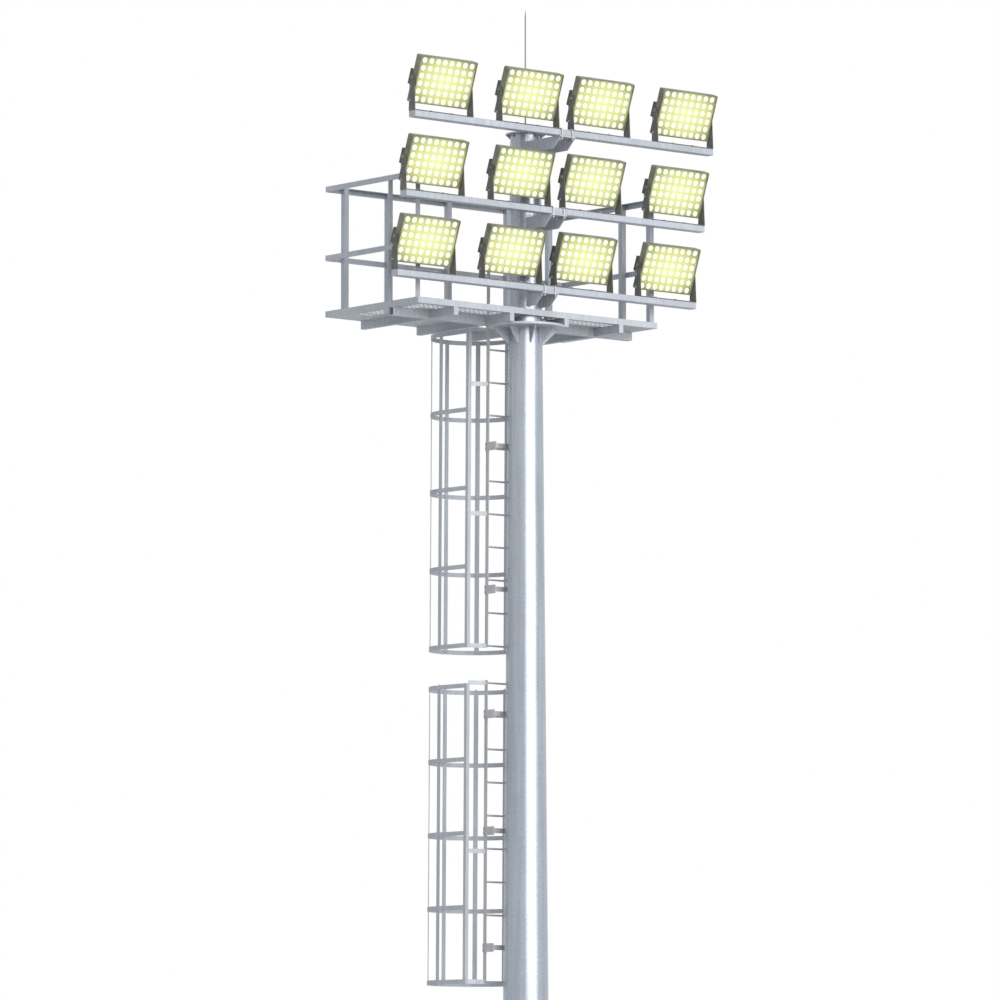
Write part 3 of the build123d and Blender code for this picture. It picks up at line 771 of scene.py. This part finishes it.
head_radius = calc(bolt_group, "MULTIPLY", bolt_in["Across Flats"], FLATS_TO_RADIUS)
washer_top = bolt_in["Washer Thickness"]
stub = calc(bolt_group, "ADD", bolt_in["Head Height"], bolt_in["Thread Length"])
bolt_parts = add(bolt_group, "GeometryNodeJoinGeometry")
for part in (
    standing_prism(bolt_group, 16, bolt_in["Washer Radius"], washer_top, 0.0),
    standing_prism(bolt_group, 6, head_radius, bolt_in["Head Height"], washer_top),
    standing_prism(bolt_group, 10, bolt_in["Thread Radius"], stub, washer_top),
):
    bolt_group.links.new(part, bolt_parts.inputs[0])
direction = add(
    bolt_group, "GeometryNodeInputNamedAttribute", {"data_type": "FLOAT_VECTOR"}, Name="facing"
)
turned = add(
    bolt_group,
    "FunctionNodeAlignRotationToVector",
    {"axis": "Z"},
    Vector=direction.outputs[0],
)
bolt_scatter = add(
    bolt_group,
    "GeometryNodeInstanceOnPoints",
    Points=bolt_in["Geometry"],
    Instance=bolt_parts.outputs[0],
    Rotation=turned.outputs[0],
)
finish_group(bolt_group, bolt_scatter.outputs[0], bolt_out, BOLT_ZINC)
print("bolt inputs", len(BOLT_INPUTS))

# %% [markdown]
# Bolts come in standard sizes, so a table holds them. For each thread it gives, in metres
# and in the order of the group's inputs, the width across flats, the head's height, the
# washer's radius and thickness and the thread's radius. A piece of bolts is then a size, a
# list of places and directions, and the body that it rides on.

# %% Bolt sizes and helper
ISO_SIZES = {
    "M6": (0.010, 0.004, 0.006, 0.0012, 0.003),
    "M8": (0.013, 0.0045, 0.008, 0.0012, 0.004),
    "M10": (0.017, 0.0055, 0.010, 0.0012, 0.005),
    "M16": (0.024, 0.010, 0.015, 0.003, 0.008),
    "M20": (0.030, 0.013, 0.018, 0.003, 0.010),
    "M30": (0.046, 0.024, 0.028, 0.004, 0.015),
}


def bolts(name, size, places, body, thread=0.0):
    """Bolts of one size at (position, direction) pairs, as one piece on one body."""
    mesh = bpy.data.meshes.new(name)
    mesh.from_pydata([position for position, _ in places], [], [])
    facing = mesh.attributes.new("facing", "FLOAT_VECTOR", "POINT")
    for item, (_, towards) in zip(facing.data, places):
        item.vector = towards
    values = dict(zip(BOLT_INPUTS, (*ISO_SIZES[size], thread)))
    piece = build_from_group(name, bolt_group, values, body, mesh)
    return piece


def polar(radius, angle, height):
    return Vector((radius * math.cos(angle), radius * math.sin(angle), height))


print("bolt sizes", ", ".join(ISO_SIZES))

# %% [markdown]
# Eight anchor nuts hold the base flange to the foundation, each with its washer and a
# stub of thread above it. Six screws hold the access cover. Each stands square on the
# round mast, so its direction is the way from the axis to its place.

# %% Foot of the mast
ANCHOR_COUNT = 8
ANCHOR_CIRCLE = 0.590
FLANGE_TOP = 0.030
COVER_PROUD = 0.0043
COVER_SCREWS = (
    (-0.076, 0.78), (-0.076, 1.02), (0.076, 0.78), (0.076, 1.02), (0.0, 0.679), (0.0, 1.121)
)

anchor_places = [
    (polar(ANCHOR_CIRCLE / 2, math.tau * k / ANCHOR_COUNT, FLANGE_TOP), (0, 0, 1))
    for k in range(ANCHOR_COUNT)
]
bolts("anchor_nuts", "M30", anchor_places, "mast", thread=0.045)

cover_places = []
for x, height in COVER_SCREWS:
    reach = mast_radius(height) + COVER_PROUD
    towards = Vector((x, -math.sqrt(reach**2 - x**2), 0))
    cover_places.append((towards + Vector((0, 0, height)), towards.normalized()))
bolts("cover_screws", "M8", cover_places, "mast")
print("anchor nuts", len(anchor_places), "cover screws", len(cover_places))

# %% [markdown]
# The bolts of the ladder's brackets and of the cage are worked out in the ladder's own
# upright frame and then leaned with its matrix. On the cage the low heads sit inside, at
# every crossing of a strap with a hoop.

# %% Ladder and cage bolts
CAGE_HOOPS = {"cage_upper": 5, "cage_middle": 5, "cage_lower": 3}
HOOP_HALF_HEIGHT = 0.020
CAGE_FRONT = 0.045
CAGE_REAR = 0.844
BRACKET_HEIGHTS = (8.780, 7.475, 6.345, 5.287, 4.235, 3.100, 1.950, 0.800)
PLATE_OUTER = 0.216
PLATE_MIDDLE_Y = 0.004
PLATE_BOLT_RISE = 0.022
CAGE_CENTRE = 0.447
STRAP_INNER_RADIUS = 0.3861
STRAP_ANGLES = [math.radians(degrees) for degrees in (0, 45, 90, 135, 180)]


def on_ladder(position, towards):
    """A place and a direction, leaned with the ladder."""
    return ladder_frame @ Vector(position), ladder_frame.to_3x3() @ Vector(towards)


plate_places = [
    on_ladder((side * PLATE_OUTER, PLATE_MIDDLE_Y, height + rise), (side, 0, 0))
    for height in BRACKET_HEIGHTS
    for side in (-1, 1)
    for rise in (-PLATE_BOLT_RISE, PLATE_BOLT_RISE)
]
bolts("ladder_bracket_bolts", "M10", plate_places, "mast")


def hoop_heights(section, count):
    """Heights of a cage section's hoops in the ladder's frame, from the section's box."""
    low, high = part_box(section)
    first = low.z - CAGE_FRONT * MAST_TAPER + HOOP_HALF_HEIGHT
    last = high.z - CAGE_REAR * MAST_TAPER - HOOP_HALF_HEIGHT
    return [first + (last - first) * k / (count - 1) for k in range(count)]


cage_places = []
for section, count in CAGE_HOOPS.items():
    for height in hoop_heights(section, count):
        for angle in STRAP_ANGLES:
            inward = -polar(1, angle, 0)
            place = Vector((0, CAGE_CENTRE, height)) - inward * STRAP_INNER_RADIUS
            cage_places.append(on_ladder(place, inward))
bolts("cage_bolts", "M8", cage_places, "mast")
print("cage bolts", len(cage_places))

# %% [markdown]
# Each yoke is bolted to its arm with two bolts through its base, and two more heads show on
# the outside of each leg. All of these stay when a lamp tilts, so they ride on the mast.
# The six screws of the driver box and the cable gland below it tilt with their lamp, so
# they are a piece of each lamp's own.

# %% Yoke and lamp bolts
PIVOT_RISE = 0.296
YOKE_PLATE = 0.006
YOKE_HALF_WIDTH = 0.338
YOKE_BOLT_OFFSET = 0.120
LOCK_BOLTS = ((0.020, -0.082), (0.026, -0.202))
DRIVER_SCREWS = [(x, z) for x in (-0.27, 0.0, 0.27) for z in (-0.052, 0.052)]
GLAND_PLACE = Vector((0.210, 0.066, -0.070))

base_places = []
lock_places = []
for joint in lamp_joints:
    pivot = Vector(joint["pos_m"])
    for side in (-1, 1):
        foot = pivot + Vector((side * YOKE_BOLT_OFFSET, 0, YOKE_PLATE - PIVOT_RISE))
        base_places.append((foot, (0, 0, 1)))
        for behind, rise in LOCK_BOLTS:
            place = pivot + Vector((side * YOKE_HALF_WIDTH, behind, rise))
            lock_places.append((place, (side, 0, 0)))
bolts("yoke_base_bolts", "M16", base_places, "mast")
bolts("yoke_lock_bolts", "M10", lock_places, "mast")

for joint in lamp_joints:
    carry = lamp_transform(joint)
    rearward = carry.to_3x3() @ Vector((0, 1, 0))
    downward = carry.to_3x3() @ Vector((0, 0, -1))
    screws = [(carry @ Vector((x, DRIVER_REAR_Y, z)), rearward) for x, z in DRIVER_SCREWS]
    bolts("driver_screws_" + lamp_label(joint), "M6", screws, joint["child"])
    gland = [(carry @ GLAND_PLACE, downward)]
    bolts("cable_gland_" + lamp_label(joint), "M20", gland, joint["child"], thread=0.008)
print("yoke bolts", len(base_places) + len(lock_places))

# %% [markdown]
# The lightning rod stands in the middle of the column's cap, and one nut locks it there.

# %% Nut on the lightning rod
rod_foot = Vector((0, 0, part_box("lightning_rod")[0].z))
bolts("rod_nut", "M20", [(rod_foot, (0, 0, 1))], "mast")
print("rod foot at", round(rod_foot.z, 3))

# %% [markdown]
# ## Welds
# Where plates meet the mast, a weld bead runs along the corner. A bead is a tube whose
# thickness ripples, so the group resamples each path every centimetre or so and lets a
# noise vary the tube's scale.

# %% Weld group
WELD_INPUTS = {"Bead Radius": 0.005, "Ripple": 0.010, "Unevenness": 0.35}
weld_group, weld_in, weld_out = new_group("weld_bead", WELD_INPUTS)
weld_curve = add(weld_group, "GeometryNodeMeshToCurve", Mesh=weld_in["Geometry"])
weld_steps = add(
    weld_group,
    "GeometryNodeResampleCurve",
    {"mode": "LENGTH"},
    Curve=weld_curve.outputs[0],
    Length=weld_in["Ripple"],
)
weld_noise = add(weld_group, "ShaderNodeTexNoise", Scale=70.0, Detail=2.0)
off_middle = calc(weld_group, "SUBTRACT", weld_noise.outputs["Fac"], 0.5)
weld_swing = calc(weld_group, "MULTIPLY", off_middle, weld_in["Unevenness"])
weld_scale = calc(weld_group, "ADD", 1.0, calc(weld_group, "MULTIPLY", weld_swing, 2.0))
weld_profile = add(
    weld_group, "GeometryNodeCurvePrimitiveCircle", Resolution=6, Radius=weld_in["Bead Radius"]
)
weld_tube = add(
    weld_group,
    "GeometryNodeCurveToMesh",
    Curve=weld_steps.outputs[0],
    Profile_Curve=weld_profile.outputs[0],
    Scale=weld_scale,
    Fill_Caps=True,
)
finish_group(weld_group, weld_tube.outputs[0], weld_out, WELD_ZINC)
print("weld ripple", WELD_INPUTS["Ripple"])

# %% [markdown]
# The paths of the beads are plain chains of points, worked out from the mast. A piece of
# welds is one mesh of all its chains, given to the group. Some are rings round the
# mast, which `ring` makes.

# %% Weld helper
RING_STEPS = 96


def welds(name, paths, bead=0.005, ripple=0.010):
    """Beads along chains of points, as one piece on the mast."""
    points, edges = [], []
    for chain in paths:
        first = len(points)
        points += chain
        edges += [(first + k, first + k + 1) for k in range(len(chain) - 1)]
    mesh = bpy.data.meshes.new(name)
    mesh.from_pydata(points, edges, [])
    values = {"Bead Radius": bead, "Ripple": ripple}
    piece = build_from_group(name, weld_group, values, "mast", mesh)
    return piece


def ring(radius, height):
    return [polar(radius, math.tau * k / RING_STEPS, height) for k in range(RING_STEPS + 1)]


print("points on a ring", RING_STEPS)

# %% [markdown]
# Gussets stand round the foot and under the head like the blades of a star. Each is welded
# on both faces, to the mast and to the flange, so one function gives its four chains.

# %% Welds at the foot and the head
GUSSET_COUNT = 8
BASE_GUSSET_HALF = 0.006
BASE_GUSSET_FOOT = 0.325
BASE_GUSSET_TOP = 0.250
HEAD_FLANGE_THICKNESS = 0.020
HEAD_GUSSET_HALF = 0.005
HEAD_GUSSET_DROP = 0.150
HEAD_GUSSET_REACH = 0.140
HEAD_CUT_Y = 0.245


def gusset_chains(angle, half, flange_z, outer, mast_end):
    """Chains along both faces of a gusset, on the flange and up or down the mast."""
    chains = []
    across = polar(1, angle + math.pi / 2, 0)
    for side in (-half, half):
        shift = across * side
        root = polar(mast_radius(flange_z), angle, flange_z) + shift
        chains.append([root, polar(outer, angle, flange_z) + shift])
        chains.append([root, polar(mast_radius(mast_end), angle, mast_end) + shift])
    return chains


foot_paths = [ring(mast_radius(FLANGE_TOP), FLANGE_TOP)]
head_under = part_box("head_flange")[1].z - HEAD_FLANGE_THICKNESS
head_paths = [ring(mast_radius(head_under), head_under)]
head_outer = mast_radius(head_under) + HEAD_GUSSET_REACH
for k in range(GUSSET_COUNT):
    angle = math.tau * (k + 0.5) / GUSSET_COUNT
    foot_paths += gusset_chains(
        angle, BASE_GUSSET_HALF, FLANGE_TOP, BASE_GUSSET_FOOT, BASE_GUSSET_TOP
    )
    if head_outer * math.sin(angle) < HEAD_CUT_Y:
        low_end = head_under - HEAD_GUSSET_DROP
        head_paths += gusset_chains(angle, HEAD_GUSSET_HALF, head_under, head_outer, low_end)
welds("base_welds", foot_paths, bead=0.006)
welds("head_welds", head_paths)
print("gusset chains", len(foot_paths) + len(head_paths))

# %% [markdown]
# The column, its cap and the arm brackets are welded too. A cheek of a bracket meets the
# round column along an upright line, which lies where the cheek's face cuts the circle.

# %% Welds on the column
ARM_HEIGHT = 0.060
CHEEK_HEIGHT = 0.112
CHEEK_FACES = (0.080, 0.090)

column_paths = [
    ring(mast_radius(column_low.z), column_low.z),
    ring(mast_radius(column_high.z), column_high.z),
]
arm_tops = sorted({round(joint["pos_m"][2] - PIVOT_RISE, 4) for joint in lamp_joints})
for arm_top in arm_tops:
    top = arm_top - ARM_HEIGHT
    for face in CHEEK_FACES:
        for side in (-1, 1):
            chain = []
            for height in (top - CHEEK_HEIGHT, top):
                depth = math.sqrt(mast_radius(height) ** 2 - face**2)
                chain.append(Vector((side * face, -depth, height)))
            column_paths.append(chain)
welds("column_welds", column_paths, bead=0.004)
print("arm tops", arm_tops)

# %% [markdown]
# Each conical section is rolled from one sheet and closed with a long seam weld. The
# seams are turned towards the ladder, a little apart from section to section, as a
# fabricator sets them, and they are finer than the structural beads.

# %% Long seams of the mast
SEAM_ANGLES = {"mast_lower": 118, "mast_middle": 64, "mast_upper": 121, "head_column": 59}
SEAM_END_GAP = 0.01

middle_z, upper_z = (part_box(name)[0].z for name in ("mast_middle", "mast_upper"))
seam_reaches = {
    "mast_lower": (lower_low.z, middle_z),
    "mast_middle": (middle_z, upper_z),
    "mast_upper": (upper_z, head_under),
    "head_column": (column_low.z, column_high.z),
}
seams = []
for name, (bottom, top) in seam_reaches.items():
    angle = math.radians(SEAM_ANGLES[name])
    ends = (bottom + SEAM_END_GAP, top - SEAM_END_GAP)
    seams.append([polar(mast_radius(height), angle, height) for height in ends])
welds("long_seams", seams, bead=0.0025, ripple=0.02)
print("seams", len(seams))

# %% [markdown]
# ## Posts on the platform frame
# The posts of the guard rail are angles, welded to the frame along the outside of both
# legs. Each foot is one bent chain: along one leg, round the corner and along the other.

# %% Welds at the posts
POST_LEG = 0.050
POST_INSET = 0.055
SIDE_POST_PLACES = (-0.156, 0.235)
REAR_POST_PLACES = (-1.239, -0.733, -0.025, 0.683, 1.189)

frame_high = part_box("platform_frame")[1]
post_corners = []
for side in (-1, 1):
    corner_x = side * (frame_high.x - POST_INSET)
    post_corners += [(corner_x, y, side) for y in SIDE_POST_PLACES]
post_corners += [(x, frame_high.y - POST_INSET, 1) for x in REAR_POST_PLACES]
post_paths = [
    [
        Vector((x + turn * POST_LEG, y, frame_high.z)),
        Vector((x, y, frame_high.z)),
        Vector((x, y + POST_LEG, frame_high.z)),
    ]
    for x, y, turn in post_corners
]
welds("post_welds", post_paths, bead=0.003, ripple=0.008)
print("posts", len(post_paths))

# %% [markdown]
# ## Perforated floor
# The floor is thin sheet with drain holes in a strip along the platform's edge, and from
# below they show as rows of bright dashes. A node group drills them in three steps. The
# first starts from a copy of the CAD floor, merges its loose triangles and lowers its top
# until the sheets are as thin as real ones.

# %% Perforated floor: thin sheets
SHEET_INPUTS = {
    "Pitch": 0.052,
    "Hole Radius": 0.020,
    "Edge Margin": 0.010,
    "Strip Width": 0.17,
    "Sheet Thickness": 0.0015,
}
MERGE_DISTANCE = 0.00001
TOP_IS_ABOVE = 0.0005
sheet_group, sheet_in, sheet_out = new_group("perforated_sheet", SHEET_INPUTS)


def coordinates(vector):
    return add(sheet_group, "ShaderNodeSeparateXYZ", Vector=vector).outputs


def minus(first, second):
    return calc(sheet_group, "SUBTRACT", first, second)


merged = add(
    sheet_group,
    "GeometryNodeMergeByDistance",
    Geometry=sheet_in["Geometry"],
    Distance=MERGE_DISTANCE,
)
extent = add(sheet_group, "GeometryNodeBoundBox", Geometry=merged.outputs[0])
floor_low = coordinates(extent.outputs["Min"])
floor_high = coordinates(extent.outputs["Max"])
spot = coordinates(add(sheet_group, "GeometryNodeInputPosition").outputs[0])
thinning = minus(sheet_in["Sheet Thickness"], minus(floor_high["Z"], floor_low["Z"]))
thin = add(
    sheet_group,
    "GeometryNodeSetPosition",
    Geometry=merged.outputs[0],
    Selection=calc(sheet_group, "GREATER_THAN", minus(spot["Z"], floor_low["Z"]), TOP_IS_ABOVE),
    Offset=vector_of(sheet_group, z=thinning),
)
print("sheet thickness", SHEET_INPUTS["Sheet Thickness"])

# %% [markdown]
# The second step lays a grid of points over the whole platform, one pitch apart, and asks
# two things of each. Is it in the strip beside the platform's edge? And is a hole there
# clear of every edge of a sheet? Only the upright faces of the sheets are their edges, so
# those are set apart, and the distance to them answers the second.

# %% Perforated floor: places of the holes
UPRIGHT_BELOW = 0.5
floor_width = minus(floor_high["X"], floor_low["X"])
floor_depth = minus(floor_high["Y"], floor_low["Y"])
grid = add(
    sheet_group,
    "GeometryNodeMeshGrid",
    Size_X=floor_width,
    Size_Y=floor_depth,
    Vertices_X=calc(sheet_group, "DIVIDE", floor_width, sheet_in["Pitch"]),
    Vertices_Y=calc(sheet_group, "DIVIDE", floor_depth, sheet_in["Pitch"]),
)


def middle_of(axis):
    both = calc(sheet_group, "ADD", floor_low[axis], floor_high[axis])
    return calc(sheet_group, "MULTIPLY", both, 0.5)


laid = add(
    sheet_group,
    "GeometryNodeTransform",
    Geometry=grid.outputs["Mesh"],
    Translation=vector_of(sheet_group, middle_of("X"), middle_of("Y"), floor_low["Z"]),
)
normal = coordinates(add(sheet_group, "GeometryNodeInputNormal").outputs["Normal"])
slope = calc(sheet_group, "ABSOLUTE", normal["Z"])
edges_of_sheets = add(
    sheet_group,
    "GeometryNodeSeparateGeometry",
    {"domain": "FACE"},
    Geometry=thin.outputs[0],
    Selection=calc(sheet_group, "LESS_THAN", slope, UPRIGHT_BELOW),
)
to_edge = add(sheet_group, "GeometryNodeProximity", Geometry=edges_of_sheets.outputs[0])
clear_by = calc(sheet_group, "ADD", sheet_in["Hole Radius"], sheet_in["Edge Margin"])
is_clear = calc(sheet_group, "GREATER_THAN", to_edge.outputs["Distance"], clear_by)


def nearer_side(axis):
    """Distance to the nearer of the platform's two sides across one axis."""
    past_low = minus(spot[axis], floor_low[axis])
    return calc(sheet_group, "MINIMUM", past_low, minus(floor_high[axis], spot[axis]))


to_rim = calc(sheet_group, "MINIMUM", nearer_side("X"), nearer_side("Y"))
in_strip = calc(sheet_group, "LESS_THAN", to_rim, sheet_in["Strip Width"])
print("hole pitch", SHEET_INPUTS["Pitch"])

# %% [markdown]
# The last step stands a prism on each point that passes and cuts them all out with one
# boolean. The manifold solver is quick, and it works here because the sheets and prisms
# are closed. The drilled sheets then stand for the CAD floor, which stays for collision.

# %% Perforated floor: drilling
CUTTER_SIDES = 12
CUTTER_DEPTH = 0.02
cutter = add(
    sheet_group,
    "GeometryNodeMeshCylinder",
    Vertices=CUTTER_SIDES,
    Radius=sheet_in["Hole Radius"],
    Depth=CUTTER_DEPTH,
)
cutters = add(
    sheet_group,
    "GeometryNodeInstanceOnPoints",
    Points=laid.outputs[0],
    Selection=calc(sheet_group, "MULTIPLY", is_clear, in_strip),
    Instance=cutter.outputs["Mesh"],
)
solid_cutters = add(sheet_group, "GeometryNodeRealizeInstances", Geometry=cutters.outputs[0])
drilled = add(
    sheet_group,
    "GeometryNodeMeshBoolean",
    {"operation": "DIFFERENCE", "solver": "MANIFOLD"},
    Mesh_1=thin.outputs[0],
    Mesh_2=solid_cutters.outputs[0],
)
finish_group(sheet_group, drilled.outputs["Mesh"], sheet_out, SHEET_STEEL)

cad_floor = nodes["floor_planks"].data.copy()
floor_sheets = build_from_group("floor_sheets", sheet_group, {}, "mast", cad_floor)
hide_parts("floor_planks")
print("floor faces", len(floor_sheets.data.polygons))
